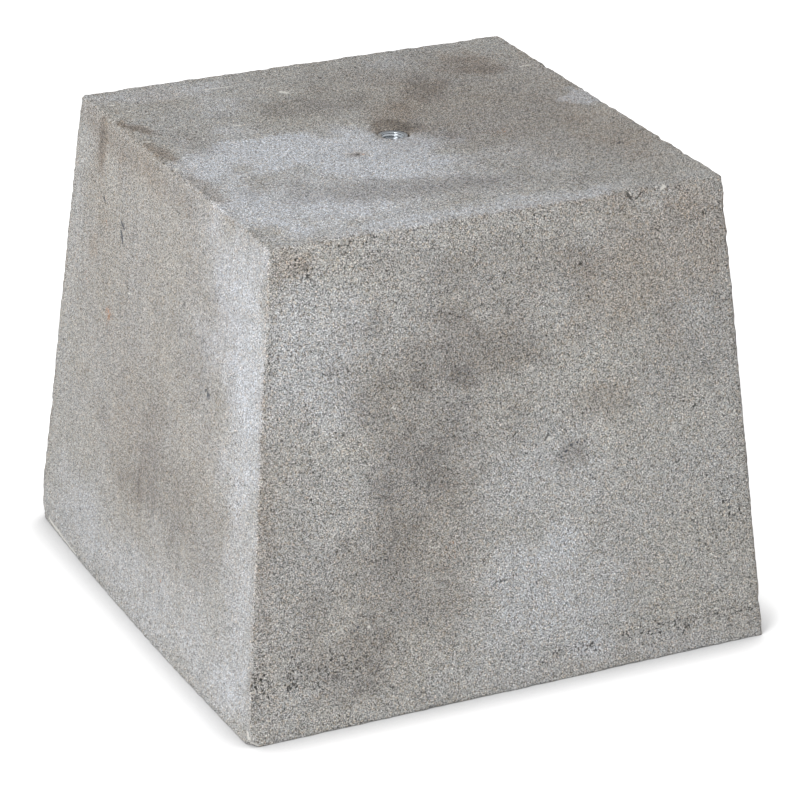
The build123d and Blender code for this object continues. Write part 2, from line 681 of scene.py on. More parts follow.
    def scoops(self) -> list[Scoop]:
        """The bites out of the rim and the arrises, as far in as the outline shows them.

        Returns:
            Those of the rim, then those of the upright arrises.
        """
        top, high = self.top_half, self.height
        rims = {side: tuple(side.outward + Side.TOP.outward)
                for side in (Side.FRONT, Side.RIGHT, Side.BACK, Side.LEFT)}
        bites = [
            (Side.FRONT, top - 54.0, 5.0, 2.6), (Side.FRONT, -49.0, 5.0, 1.2),
            (Side.RIGHT, 66.5, 7.0, 1.3), (Side.RIGHT, 21.0, 7.0, 1.2), (Side.RIGHT, 2.6, 5.0, 1.2),
            (Side.RIGHT, -7.6, 6.0, 1.3), (Side.RIGHT, -64.0, 8.0, 1.2), (Side.RIGHT, -88.0, 6.0, 1.1),
            (Side.BACK, 116.5, 40.0, 1.5), (Side.BACK, 108.5, 4.0, 2.2), (Side.BACK, -73.0, 9.0, 1.3),
            (Side.BACK, 20.0, 9.0, 1.1), (Side.BACK, -20.0, 7.0, 1.0), (Side.LEFT, -20.0, 6.0, 1.4),
            (Side.LEFT, 4.0, 5.0, 1.5), (Side.LEFT, 58.0, 7.0, 1.5), (Side.LEFT, -92.0, 6.0, 1.6),
        ]
        found = [Scoop(tuple(side.across * along + side.outward * top + np.array((0, 0, high))),
                       rims[side], radius, bite) for side, along, radius, bite in bites]
        for x_sign, y_sign, z, radius, bite in (
            (1, -1, 238.0, 5.0, 1.5), (1, -1, 222.5, 5.0, 1.5), (1, -1, 160.0, 6.0, 0.6),
            (1, -1, 130.0, 5.0, 0.7), (1, -1, 21.0, 9.0, 1.3), (-1, 1, 73.0, 10.0, 1.4),
            (1, 1, 176.0, 8.0, 1.5), (-1, -1, 118.0, 4.0, 1.3), (-1, -1, 205.0, 5.0, 1.2),
        ):
            half = self.half_at(z)
            found.append(Scoop((x_sign * half, y_sign * half, z), (x_sign, y_sign, 0), radius, bite))
        return found

    def on_face(self, side: Side, across: float, up: float) -> tuple[float, float, float]:
        """The point at a place on one of the block's faces.

        Args:
            side: the face.
            across, up: the place on it.
        Returns:
            The point.
        """
        if side is Side.TOP:
            return across, up, self.height
        return tuple(side.across * across + side.outward * self.half_at(up) + side.up * up)

    def broken(self, points: np.ndarray) -> np.ndarray:
        """Bows the left foot, and moves back what is broken off the corners and arrises.

        Args:
            points: the skin's points.
        Returns:
            The points, none of them past a break.
        """
        points = points.copy()
        bulge, less, reach = self.foot_bow
        bow = bulge - less * (points[:, 1] / self.foot_half) ** 2
        left = np.clip(-points[:, 0] / self.foot_half * 4 - 2.6, 0, 1)
        points[:, 0] -= bow * left * np.exp(-(points[:, 2] / reach) ** 2)
        for number, lost in enumerate(self.breaks):
            ends = [np.array([lost.x_sign * half, lost.y_sign * half, z]) for half, z in
                    ((self.foot_half, 0.0), (self.top_half, self.height))]
            corner, other = ends[::-1] if lost.at_top else ends
            reached = [corner - np.array([lost.x_sign * lost.along_x, 0, 0]),
                       corner - np.array([0, lost.y_sign * lost.along_y, 0]),
                       corner + (other - corner) / np.linalg.norm(other - corner) * lost.rise]
            outward = np.cross(reached[1] - reached[0], reached[2] - reached[0])
            outward /= np.linalg.norm(outward) * np.sign(outward @ (corner - reached[0]))
            past = (points - reached[0]) @ outward + 0.5 * drift(points, 6.0, 70 + number)
            points -= np.maximum(past, 0)[:, None] * outward
        for bite in self.scoops():
            outward = np.array(bite.outward, float)
            outward /= np.linalg.norm(outward)
            centre = np.array(bite.at) + outward * (bite.radius - bite.bite)
            away = points - centre
            far = np.linalg.norm(away, axis=1)
            inside = far < bite.radius
            points[inside] = centre + away[inside] * (bite.radius / far[inside])[:, None]
        return points

    def well(self, window: np.ndarray) -> tuple[np.ndarray, float]:
        """Rings that lead from the window in the top down into the hole round the socket.

        Args:
            window: the window's points, in order.
        Returns:
            The rings' points, ring by ring, and how many points a ring has.
        """
        turn = np.arctan2(window[:, 1], window[:, 0])
        way = np.stack([np.cos(turn), np.sin(turn)], axis=1)
        ragged = 0.22 * drift(np.c_[way * self.well_radius, 0 * turn], 6.0, 5)
        # The paste stands in over the socket on one side of the hole and is worn back on another.
        stands_in = 0.55 * np.clip(np.cos(turn + 1.9), 0, 1) ** 2
        worn_back = np.clip(np.cos(turn + 0.4), 0, 1) ** 4
        foot = (self.well_rings[-1][0], self.height - self.well_foot, 0.0)
        rings = []
        for radius, depth, loose in (*self.well_rings, foot):
            out = radius + loose * (ragged + (worn_back - stands_in))
            rings.append(np.c_[way * out[:, None], np.full(len(turn), self.height - depth)])
        return np.concatenate(rings), len(window)


def patches(mark: Mark, side: Side, *rows: tuple[float, ...]) -> list[Patch]:
    """Patches of one mark on one face, each from the numbers that follow its mark and its side."""
    return [Patch(mark, side, *row) for row in rows]


def strokes(mark: Mark, side: Side, *rows: tuple[float, ...]) -> list[Stroke]:
    """Strokes of one mark on one face, each from its start, its end and half its width."""
    return [Stroke(mark, side, row[:2], row[2:4], row[4]) for row in rows]


def marks_seen() -> tuple[Patch, ...]:
    """The marks of the three faces that the photograph shows.

    Returns:
        The patches, in the order that their outlines' seeds are counted.
    """
    top, left, front = Side.TOP, Side.LEFT, Side.FRONT
    return (
        *patches(Mark.LAITANCE, top, (-74, 4, 38, 27, 1.05, 5, 0.4),
                 (-38, -14, 46, 26, 0.8, -35, 0.4), (-12, -36, 22, 24, 0.8, 0, 0.4),
                 (-92, -86, 38, 20, 0.8, -12, 0.4), (-30, -119, 92, 9, 0.75),
                 (-52, -62, 74, 44, 0.65), (-106, -30, 9, 60, 0.5), (118, 13, 11, 13, 1.1, 0, 0.25),
                 (38, -50, 18, 12, 0.4), (56, -77, 10, 8, 0.35), (45, 106, 14, 10, 0.35),
                 (-62, 78, 15, 17, 0.45)),
        *patches(Mark.SHADE, top, (-38, -74, 56, 13, 0.85, -14, 0.5), (10, -88, 30, 12, 0.4),
                 (-26, 60, 28, 17, 1.0), (-101, 32, 10, 22, 0.5, 20), (-93, -40, 8, 10, 0.3),
                 (62, 5, 66, 56, 0.62, 0, 0.6), (75, -70, 48, 40, 0.3, 0, 0.6),
                 (43, 55, 12, 22, 0.85, -35), (30, 95, 40, 24, 0.5), (86, 86, 16, 20, 0.8),
                 (24, -12, 9, 14, 0.5, 20), (61, -101, 8, 4, 0.6),
                 (-30, -20.7, 2.6, 2.2, 1.8, 0, 0.3)),
        *patches(Mark.LAITANCE, top, (-19, 6, 9, 14, 0.9), (15, -18, 16, 11, 0.8),
                 (2, -13, 10, 5, 0.8), (-85, 112, 36, 11, 0.55)),
        *patches(Mark.SHADE, top, (3, 9, 11, 13, 1.15, -15, 0.15, 0.1),
                 (13, 5, 7, 8, 0.5, 0, 0.3, 0.2), (12, 28, 13, 17, 0.5, 0, 0.6, 0.2)),
        *patches(Mark.BROWN, top, (3, 9, 11, 13, 1.2, -15, 0.15, 0.1),
                 (13, 5, 7, 8, 0.6, 0, 0.3, 0.2), (12, 28, 13, 17, 0.8, -30, 0.5, 0.2)),
        *patches(Mark.SHADE, top, (-119.5, 63, 3.6, 13, 1.0, 27, 0.5),
                 (-121.5, 24, 3.6, 22, 0.8, 8, 0.5), (-121, -38, 4, 26, 0.5, 0, 0.5)),
        *patches(Mark.BROWN, top, (-119.5, 63, 4.2, 14, 1.3, 27, 0.5),
                 (-121.5, 24, 4, 22, 0.9, 8, 0.5), (-121, -38, 4, 30, 0.6, 0, 0.5),
                 (38, 52, 13, 30, 0.55, -40), (87, 86, 17, 20, 1.1), (70, 20, 66, 70, 0.5, 0, 0.7),
                 (-30, -20.7, 5.5, 4.8, 1.0), (-92, 104, 22, 14, 0.45), (104, -45, 16, 46, 0.6)),
        *patches(Mark.RUST, top, (54, -20, 6.5, 5, 0.7)),
        *patches(Mark.CHIPS, top, (-23, 83, 6, 5, 0.8), (-69, 45, 2.2, 2.4), (-4, 47, 1.8, 2.2)),
        *patches(Mark.SOOT, top, (1, 112, 2.6, 1.8), (91, 39, 2.4, 2.4), (102, -61, 2.6, 2.6),
                 (62, 65, 2.4, 2.0)),
        *patches(Mark.CRACK, top, (-36, -82, 17, 1.2, 0.8, 81.6, 0.4)),
        # Painted light: the faint film along the front's foot, 60 across and 9 up, lifts the foot where
        # it lies in shade near the floor.
        *patches(Mark.LAITANCE, front, (-107, 196, 24, 42, 0.38), (60, 9, 90, 9, 0.2),
                 (22, 48, 34, 30, 0.5), (28, 98, 34, 30, 0.25)),
        *patches(Mark.SHADE, front, (-17, 190, 40, 17, 0.9, -8, 0.5),
                 (-46, 156, 32, 32, 0.75, 0, 0.5), (-54, 114, 34, 32, 0.6, 0, 0.5),
                 (-66, 68, 40, 34, 0.65, 0, 0.5), (-94, 32, 26, 17, 0.75),
                 (-10, 226, 56, 18, 0.5, 0, 0.5), (-28, 235, 12, 11, 0.3), (-72, 212, 8, 9, 0.5),
                 (80, 222, 56, 30, 0.2, 0, 0.6), (105, 168, 34, 22, 0.35), (57, 150, 15, 8, 0.4),
                 (-78, 184, 16, 26, 0.35), (-124, 110, 18, 60, 0.4), (2, 148, 15, 20, 0.35),
                 (36.5, 122.5, 9, 6.5, 1.0, 25, 0.4), (55, 132, 12, 7, -0.45, -30)),
        *patches(Mark.BROWN, front, (84, 222, 50, 32, 0.75, 0, 0.6), (110, 247, 12, 8, 0.6),
                 (-114, 247, 10, 8, 0.9), (-20, 192, 40, 18, 0.25), (57, 150, 17, 10, 0.45),
                 (-137, 120, 6, 100, 0.45), (-45, 80, 34, 50, 0.15), (70, 8, 90, 7, 0.25)),
        *patches(Mark.RUST, front, (-35, 87, 7, 7, 0.55), (73, 52, 8, 5, 0.5)),
        *patches(Mark.SOOT, front, (-49, 49, 3, 2.6, 0.8), (-72, 187, 5, 5, 0.5),
                 (130, 76, 2.6, 2.2, 1.0), (122, 64, 2.6, 2, 0.7)),
        *patches(Mark.PORES, front, (83, 17, 62, 4, 1.0, 0, 0.4), (-112, 33, 34, 8, 0.9),
                 (-131, 199, 6, 9, 0.9), (-142, 37, 6, 12, 0.9), (-112, 245, 6, 5, 0.9),
                 (130, 70, 14, 16, 0.6)),
        *patches(Mark.CRACK, front, (112.5, 138.5, 7.5, 1.3, 1.0, 32, 0.4)),
        *patches(Mark.CHIPS, front, (-43, 88, 2.8, 2.2), (-63, 166, 2.6, 2.2), (23, 134, 2.4, 2.0),
                 (-13, 44, 4.5, 3, 0.7), (23, 10, 4.5, 2.6, 0.7), (37, 27, 4.5, 3, 0.7),
                 (-143, 4, 6, 3, 0.3)),
        *patches(Mark.LAITANCE, left, (97, 210, 32, 46, 0.85, 0, 0.6),
                 (114, 148, 20, 40, 0.5, 0, 0.6), (126, 76, 18, 60, 0.45), (0, 22, 142, 20, 0.5),
                 (100, 22, 40, 16, 0.1), (52, 236, 30, 18, 0.2), (-124, 190, 10, 50, 0.25)),
        *patches(Mark.SHADE, left, (6, 96, 62, 34, 0.35, 0, 0.5), (60, 86, 48, 22, 0.4, 0, 0.5),
                 (-4, 84, 14, 16, 0.45), (-26, 72, 20, 9, 0.35), (6, 122, 14, 18, 0.35),
                 (-70, 97, 10, 8, 0.5), (-50, 248, 76, 8, 0.5), (-91, 238, 3.6, 11, 1.0),
                 (-96, 238, 12, 16, 0.25), (60, 172, 30, 24, 0.4), (52, 226, 44, 34, 0.25),
                 (-60, 165, 60, 45, 0.15), (10, 120, 150, 130, 0.08, 0, 0.8)),
        *patches(Mark.BROWN, left, (-91, 239, 4.4, 14, 1.2), (-64, 237, 3, 15, 0.7),
                 (-93, 226, 12, 26, 0.4), (-50, 246, 70, 10, 0.5), (-40, 170, 90, 80, 0.28, 0, 0.6),
                 (10, 95, 76, 40, 0.2, 0, 0.6), (-95, 179, 6, 8, 0.8), (-2, 84, 11, 15, 0.2)),
        *patches(Mark.RUST, left, (-68, 152, 5, 6, 0.9), (-78, 202, 5, 5, 0.55),
                 (-100, 105, 6, 6, 0.45), (-102, 163, 5, 6, 0.45)),
        *patches(Mark.SOOT, left, (31, 178, 8, 6, 0.75), (60, 180, 14, 7, 0.7),
                 (68, 160, 4, 3, 1.1, 0, 0.3), (20, 150, 7, 5, 0.5), (-117, 125, 6, 4, 0.5),
                 (-66, 104, 8, 5, 0.6), (-89, 30, 2.6, 2.4, 0.8)),
        *patches(Mark.CHIPS, left, (-40, 174, 3, 2)),
        *patches(Mark.PORES, left, (110, 100, 10, 70, 0.3)),
    )


def strokes_seen() -> tuple[Stroke, ...]:
    """The finest of the marks that the photograph shows: cracks, scratches, stones and chips.

    Returns:
        The strokes.
    """
    top, left, front = Side.TOP, Side.LEFT, Side.FRONT
    return (
        *strokes(Mark.SOOT, front, (30.2, 122.4, 30.8, 123.2, 0.7), (32.6, 124.6, 33.6, 125.7, 0.9),
                 (35.6, 127.6, 36.7, 128.5, 0.9), (39.4, 128.8, 40.4, 128.9, 0.7),
                 (43.6, 128.9, 44.4, 128.4, 0.6), (-89.2, 51.4, -88.6, 52.2, 0.6),
                 (-87.4, 52.8, -86.4, 53.9, 0.8), (-84.9, 54.7, -84.3, 55.5, 0.6)),
        *strokes(Mark.CRACK, front, (69.9, 142.7, 71.4, 143.2, 0.7), (3.0, 138.9, 5.2, 140.4, 0.45),
                 (21.0, 133.2, 23.6, 136.8, 0.4), (108.0, 136.0, 109.4, 137.0, 0.6),
                 (-102.6, 38.8, -101.8, 39.2, 1.0), (-106.4, 33.7, -105.0, 33.6, 0.6),
                 (-141.6, 36.0, -141.0, 36.8, 0.9), (-142.9, 22.8, -141.7, 21.8, 0.5),
                 (-140.4, 20.8, -139.4, 20.4, 0.4), (-137.9, 19.2, -137.0, 18.9, 0.5),
                 (-69.2, 16.6, -68.2, 16.9, 0.7), (71.4, 254.4, 72.6, 253.2, 1.0),
                 (75.8, 252.0, 79.6, 255.4, 0.45), (127.0, 238.4, 127.4, 237.6, 0.8),
                 (128.4, 222.8, 129.0, 221.8, 1.0)),
        *strokes(Mark.CHIPS, front, (23.2, 133.5, 24.4, 134.1, 0.9),
                 (-81.2, 52.1, -80.6, 52.4, 0.8), (90.4, 255.2, 92.0, 256.0, 0.8)),
        *strokes(Mark.SOOT, left, (-84.5, 212.9, -83.2, 211.4, 0.9),
                 (-58.6, 207.8, -54.1, 205.5, 0.9), (-57.7, 202.7, -54.9, 198.1, 1.1),
                 (30.2, 211.6, 30.6, 210.2, 0.8)),
        *strokes(Mark.CRACK, left, (-89.9, 30.0, -89.1, 29.4, 0.9)),
        *strokes(Mark.CHIPS, left, (-138.0, 3.6, -134.0, 2.8, 0.7),
                 (-134.0, 2.8, -116.0, 2.0, 0.85), (-116.0, 2.0, -92.0, 1.4, 0.5),
                 (146.2, 7.4, 146.9, 4.4, 1.2)),
        *strokes(Mark.CHIPS, front, (-148.6, 2.4, -144.6, 1.4, 0.6)),
        *strokes(Mark.RUST, left, (-67.6, 154.4, -66.7, 149.9, 0.4), (26.4, 38.4, 27.2, 37.4, 0.7)),
        *strokes(Mark.RUST, top, (-28.0, -21.8, -26.8, -22.0, 0.7)),
        *strokes(Mark.CHIPS, top, (-118.0, 102.2, -116.8, 102.1, 1.2),
                 (-113.4, 89.6, -112.4, 88.6, 1.0), (-123.6, 41.9, -120.7, 40.6, 0.8),
                 (-124.2, -3.0, -122.8, -3.1, 1.0), (-114.1, -85.5, -112.9, -85.7, 1.1),
                 (-112.5, -1.8, -111.7, -2.0, 0.8), (-93.3, 34.0, -92.9, 33.6, 0.7),
                 (-70.4, 46.9, -67.7, 45.4, 0.4), (-63.2, 106.1, -47.8, 105.4, 0.5),
                 (-26.1, 85.9, -23.8, 83.0, 1.2), (112.1, 71.2, 117.4, 71.6, 0.7)),
        *strokes(Mark.CRACK, top, (-30.6, -21.0, -29.4, -21.6, 0.9),
                 (101.8, -60.4, 103.2, -60.9, 0.9), (-105.4, -14.8, -104.8, -15.4, 0.7),
                 (-98.1, -1.6, -97.5, -2.0, 0.7)),
    )


def marks_guessed() -> tuple[Patch, ...]:
    """Marks of the same kinds for the two faces that the photograph doesn't show.

    Returns:
        The patches, in the order that their outlines' seeds are counted.
    """
    right, back = Side.RIGHT, Side.BACK
    return (
        *patches(Mark.LAITANCE, right, (-70, 180, 38, 46, 0.7), (40, 40, 60, 26, 0.6),
                 (96, 120, 24, 50, 0.4)),
        *patches(Mark.SHADE, right, (20, 165, 44, 40, 0.8), (-50, 90, 40, 26, 0.5),
                 (0, 12, 120, 7, 0.5)),
        *patches(Mark.BROWN, right, (60, 220, 46, 24, 0.6), (-20, 110, 90, 60, 0.35, 0, 0.8)),
        *patches(Mark.RUST, right, (30, 98, 6, 6, 0.45)),
        *patches(Mark.SOOT, right, (-34, 196, 9, 6, 0.8)),
        *patches(Mark.PORES, right, (-60, 18, 66, 4, 0.9, 0, 0.4), (92, 70, 20, 20, 0.7)),
        *patches(Mark.CHIPS, right, (12, 60, 4, 3)),
        *patches(Mark.CRACK, right, (-84, 128, 9, 1.3, 0.8, 58, 0.4)),
        *patches(Mark.LAITANCE, back, (60, 190, 44, 36, 0.75), (-30, 30, 84, 22, 0.55),
                 (-104, 140, 18, 60, 0.45)),
        *patches(Mark.SHADE, back, (-20, 150, 50, 34, 0.7), (70, 90, 34, 40, 0.45)),
        *patches(Mark.BROWN, back, (-60, 228, 52, 18, 0.7), (10, 120, 100, 70, 0.35, 0, 0.8)),
        *patches(Mark.RUST, back, (-24, 186, 6, 7, 0.5)),
        *patches(Mark.SOOT, back, (40, 150, 10, 7, 0.8), (-88, 92, 6, 5, 0.6)),
        *patches(Mark.PORES, back, (70, 16, 60, 4, 0.9, 0, 0.4)),
        *patches(Mark.CHIPS, back, (86, 64, 3.5, 2.6)),
    )


class ReliefTree(GeometryBoard):
    """Moves the block's skin along its normals: swells, sandy unevenness, worn arrises and pits."""

    def __init__(self, name: str, inputs: dict[str, Any]) -> None:
        """Wires the tree.

        Args:
            name: the tree's name.
            inputs: Swell, Grain Height, Grain Size, Crumble Height, Pit Depth and Pit Size in
                millimetres, Seed, and the Material.
        """
        super().__init__(name, inputs)
        shift = self.vector("SCALE", (17.3, 9.1, 23.7), scale=self.given("Seed"))
        place = self.vector("ADD", self.vector("SCALE", self.signal("GeometryNodeInputPosition", 0),
                                               scale=1 / MM), shift)
        openness, edge, pores, loose = (
            self.attribute(name) for name in ("openness", "edge", "pores", "loose"))
        swell = (self.noise(place, 55.0, 2.0) - 0.5) * 2 * self.given("Swell")
        size = self.given("Grain Size")
        sandy = (self.noise(place, size, 3.0, 0.6) - 0.5) * 2 * self.given("Grain Height")
        sandy = sandy * (openness + 0.3)
        worn = (self.noise(place, size * 1.1, 2.0, 0.5, 40.0) - 0.55).smaller(0.12)
        worn = worn * 3 * edge * self.given("Crumble Height")
        holes, _ = self.cells(place, self.given("Pit Size"))
        pit = holes.step(0.32, 0.14) * (self.noise(place, 11.0, 1.0) + pores * 0.35).step(0.62, 0.78)
        height = (swell + sandy + worn - pit * self.given("Pit Depth")) * loose
        offset = self.vector("SCALE", self.signal("GeometryNodeInputNormal", 0), scale=height * MM)
        moved = self.node("GeometryNodeSetPosition", None,
                          {"Geometry": self.given("Geometry"), "Offset": offset})
        # The pits are stored for the material, which paints shade into them.
        kept = self.node("GeometryNodeStoreNamedAttribute", {"data_type": "FLOAT", "domain": "POINT"},
                         {"Geometry": moved.outputs[0], "Name": "pit", "Value": pit * loose})
        self.close(kept.outputs[0])


class SandTree(GeometryBoard):
    """Lets coarse sand grains stand out of a skin, as many as its attribute asks for."""

    def __init__(self, name: str, attribute: str, inputs: dict[str, Any]) -> None:
        """Wires the tree.

        Args:
            name: the tree's name.
            attribute: how much sand each point of the skin shows, 0 to 1.
            inputs: Grain Size in millimetres, Density in grains to the square metre, Sink as a
                share of a grain's size, Seed, and the Material.
        """
        super().__init__(name, inputs)
        size = self.given("Grain Size") * MM
        spread = self.node("GeometryNodeDistributePointsOnFaces", {"distribute_method": "RANDOM"}, {
            "Mesh": self.given("Geometry"), "Seed": self.given("Seed"),
            "Density": self.given("Density") * self.attribute(attribute)})
        sunk = self.vector("SCALE", spread.outputs["Normal"], scale=-1 * self.given("Sink") * size)
        points = self.node("GeometryNodeSetPosition", None,
                           {"Geometry": spread.outputs["Points"], "Offset": sunk})
        grain = self.node("GeometryNodeMeshIcoSphere", None, {"Radius": size * 0.5, "Subdivisions": 1})
        placed = self.node("GeometryNodeInstanceOnPoints", None, {
            "Points": points.outputs[0], "Instance": grain.outputs[0],
            "Rotation": self.chance((0, 0, 0), (6.28, 6.28, 6.28), 1),
            "Scale": self.chance((0.45, 0.45, 0.4), (1.5, 1.2, 0.95), 2)})
        toned = self.node("GeometryNodeStoreNamedAttribute",
                          {"data_type": "FLOAT", "domain": "INSTANCE"},
                          {"Geometry": placed.outputs[0], "Name": "tone",
                           "Value": self.part(self.chance((0, 0, 0), (1, 1, 1), 3), 0)})
        self.close(toned.outputs[0])

    def chance(self, low: Any, high: Any, number: int) -> Signal:
        """Random vectors between two, one for each point."""
        return self.signal("FunctionNodeRandomValue", 0, {"data_type": "FLOAT_VECTOR"}, {
            "Min": low, "Max": high, "Seed": self.given("Seed") + number})


@dataclass(frozen=True)
class SkinPatterns:
    """What the concrete's colour and its relief are both worked out from, on one board.

    cloud, patchy, ragged, clots, grit and fine are random values about 0.5, from the coarsest
    to the finest. grain is each grain's own colour and from_grain the distance from its centre.
    """

    board: MaterialBoard
    marks: dict[Mark, Signal]
    openness: Signal
    cloud: Signal
    patchy: Signal
    ragged: Signal
    clots: Signal
    grit: Signal
    fine: Signal
    grain: Signal
    from_grain: Signal
    film: Signal
    scuffed_and_shaded: Signal
    hole: Signal
    crack: Signal


@dataclass(frozen=True)
class Concrete:
    """Dry-cast concrete: sand in a thin cement paste, with what weather and the mould left on it, and
    painted shade in its pores, holes, pits and cracks.

    Sizes are in millimetres. A stroke shorter than shortest_run is drawn as a dot, and
    flattened is how much of a face's own depth is left out where its strokes are drawn.
    """

    warm: tuple[float, float, float] = seen(172, 170, 166)
    cool: tuple[float, float, float] = seen(171, 170, 168)
    film: tuple[float, float, float] = seen(200, 203, 209)
    stain: tuple[float, float, float] = (0.87, 0.80, 0.74)
    damp: tuple[float, float, float] = (1.0, 0.978, 0.965)
    rust: tuple[float, float, float] = seen(196, 128, 70)
    soot: tuple[float, float, float] = seen(70, 76, 86)
    pale: tuple[float, float, float] = seen(232, 230, 224)
    # dark is the colour of dark grains, and also the painted shade in holes and in the relief's pits.
    dark: tuple[float, float, float] = seen(70, 66, 62)
    # Near black: the painted shade in open pores and in cracks.
    pit: tuple[float, float, float] = seen(44, 42, 40)
    warm_grain: tuple[float, float, float] = (1.0, 0.86, 0.70)
    cool_grain: tuple[float, float, float] = (0.86, 0.93, 1.0)
    brightness: float = 0.985
    roughness: float = 0.92
    gloss: float = 0.3
    cloud_size: float = 42.0
    patch_size: float = 12.0
    ragged_size: float = 2.6
    clot_size: float = 1.5
    grit_size: float = 0.47
    grain: float = 0.85
    fine_grain: float = 0.45
    dot_spacing: float = 1.6
    hole_spacing: float = 5.2
    hole_fields: float = 17.0
    fibre_size: float = 1.15
    streak_size: float = 3.4
    bump: float = 0.26
    loose_sand: bool = False
    strokes: tuple[Stroke, ...] = field(default_factory=strokes_seen)
    shortest_run: float = 1.6
    flattened: float = 0.85

    def material(self, name: str, form: BlockForm) -> bpy.types.Material:
        """Wires the finish.

        Args:
            name: the material's name.
            form: the block that the fine strokes lie on.
        Returns:
            The material.
        """
        board = MaterialBoard(name)
        skin = self.patterns(board)
        colour = board.vector("SCALE", self.tinted(skin), scale=self.tone(skin))
        colour = self.marked(skin, self.speckled(skin, colour), form)
        height = None if self.loose_sand else self.relief(skin)
        return board.finish({
            "Base Color": colour, "Roughness": self.roughness - skin.film * 0.08,
            "Specular IOR Level": self.gloss}, height, self.bump * MM)

    def patterns(self, board: MaterialBoard) -> SkinPatterns:
        """Wires what the colour and the relief share.

        Args:
            board: the material's board.
        Returns:
            The marks, the random patterns and what comes of them.
        """
        place = board.place
        marks = {mark: board.attribute(mark.value) for mark in Mark}
        patchy = board.noise(place, self.patch_size, 4.0, 0.6, 57.0)
        ragged = board.noise(place, self.ragged_size, 4.0, 0.65)
        clots = board.noise(place, self.clot_size, 2.0, 0.6, 77.0)
        from_grain, grain = board.cells(place, self.grain)
        _, fine = board.cells(place, self.fine_grain)
        hole, _ = board.cells(place, self.hole_spacing)
        holed = board.noise(place, self.hole_fields, 1.0, 0.5, 5.0) + marks[Mark.PORES] * 0.5
        return SkinPatterns(
            board=board, marks=marks, openness=board.attribute("openness"),
            cloud=board.noise(place, self.cloud_size, 4.0, 0.55, 11.0),
            patchy=patchy, ragged=ragged, clots=clots,
            grit=board.noise(board.turned(place), self.grit_size, 0.0, 0.5, 23.0),
            fine=board.part(fine, 0), grain=grain, from_grain=from_grain,
            film=self.layer(marks[Mark.LAITANCE], ragged, patchy),
            scuffed_and_shaded=board.attribute("scuff_and_shade") * ragged.step(0.36, 0.62),
            hole=hole.step(0.15, 0.08) * holed.step(0.54, 0.66),
            crack=self.broken(marks[Mark.CRACK], clots),
        )

    def tinted(self, skin: SkinPatterns) -> Signal:
        """Lays the film and the stains over the bare cement.

        Args:
            skin: what the colour is worked out from.
        Returns:
            The colour at its usual brightness.
        """
        board, marks = skin.board, skin.marks
        colour = board.colour(skin.cloud.step(0.38, 0.62), self.warm, self.cool)
        colour = board.colour(skin.film * 0.7, colour, self.film)
        stain = self.layer(marks[Mark.BROWN], skin.ragged, skin.patchy)
        damp = marks[Mark.SHADE].larger(0.0).smaller(1.0)
        hue = board.part(skin.grain, 1)
        # Near the arrises the colour is browned: partly worn edges, partly painted shade.
        for share, tint in (
                (stain * 0.7, self.stain), (damp, self.damp),
                (marks[Mark.RUST].smaller(1.0) * 0.35, self.stain),
                (hue.step(0.80, 0.86) * 0.5, self.warm_grain),
                (hue.step(0.20, 0.14) * 0.5, self.cool_grain), (skin.scuffed_and_shaded * 0.5, self.stain)):
            colour = board.colour(share, colour, tint, "MULTIPLY")
        return colour

    def tone(self, skin: SkinPatterns) -> Signal:
        """How bright the concrete is, from its clouds down to its grit.

        Args:
            skin: what the colour is worked out from.
        Returns:
            1 where the tinted colour stays as it is.
        """
        board = skin.board
        tone = (self.brightness + (skin.cloud - 0.5) * 0.08 + (skin.patchy - 0.5) * 0.18
                + (skin.ragged - 0.5) * 0.14)
        # Near the arrises the tone is darkened: partly worn edges, partly painted shade.
        # Painted light: openness * 0.165 makes the rough faces lighter, to make up for the shade that
        # their bump and their sand cast.
        tone = tone + self.streaks(board) + skin.openness * 0.165 - skin.scuffed_and_shaded * 0.14
        grains = ((board.part(skin.grain, 0) - 0.5) * 0.1 + (skin.fine - 0.5) * 1.0
                  + (skin.grit - 0.5) * 2.4)
        tone = tone + grains * (board.attribute("contrast") * (1.0 - skin.film * 0.15))
        if self.loose_sand:
            tone = tone + (board.attribute("tone") - 0.5) * 0.4
        shade = skin.patchy * 0.22 + skin.ragged * 0.12 + 0.08
        return tone.larger(0.15) * (1.0 - skin.marks[Mark.SHADE] * shade)

    def speckled(self, skin: SkinPatterns, colour: Signal) -> Signal:
        """Adds the pale and dark grains and the pale clots, and paints shade into the pores, the holes
        and the relief's pits.

        Args:
            skin: what the colour is worked out from.
            colour: the concrete without them.
        Returns:
            The colour with them.
        """
        board, openness = skin.board, skin.openness
        away, dot = board.cells(board.place, self.dot_spacing)
        dots = (away - board.part(dot, 0) * 0.30).step(0.05, -0.05) * (openness * 0.5 + 0.35)
        pale = board.part(dot, 1).step(0.84, 0.88)
        shaded_pores = (skin.clots + (skin.patchy - 0.5) * 0.25 + skin.marks[Mark.PORES] * 0.08
                  + openness * 0.03)
        clots = skin.clots + (skin.patchy - 0.5) * 0.12
        # The near-black specks are painted shade in open pores, and the holes and the relief's pits are
        # painted dark as shade; the dark dots are dark grains.
        for share, tint in (
                (dots * pale * 0.8, self.pale), (dots * (1.0 - pale) * 0.7, self.dark),
                (shaded_pores.step(0.69, 0.72) * (openness * 0.35 + 0.55), self.pit),
                (clots.step(0.28, 0.23) * 0.5, self.pale),
                ((skin.hole + board.attribute("pit") * 0.5).smaller(0.85), self.dark)):
            colour = board.colour(share, colour, tint)
        return colour

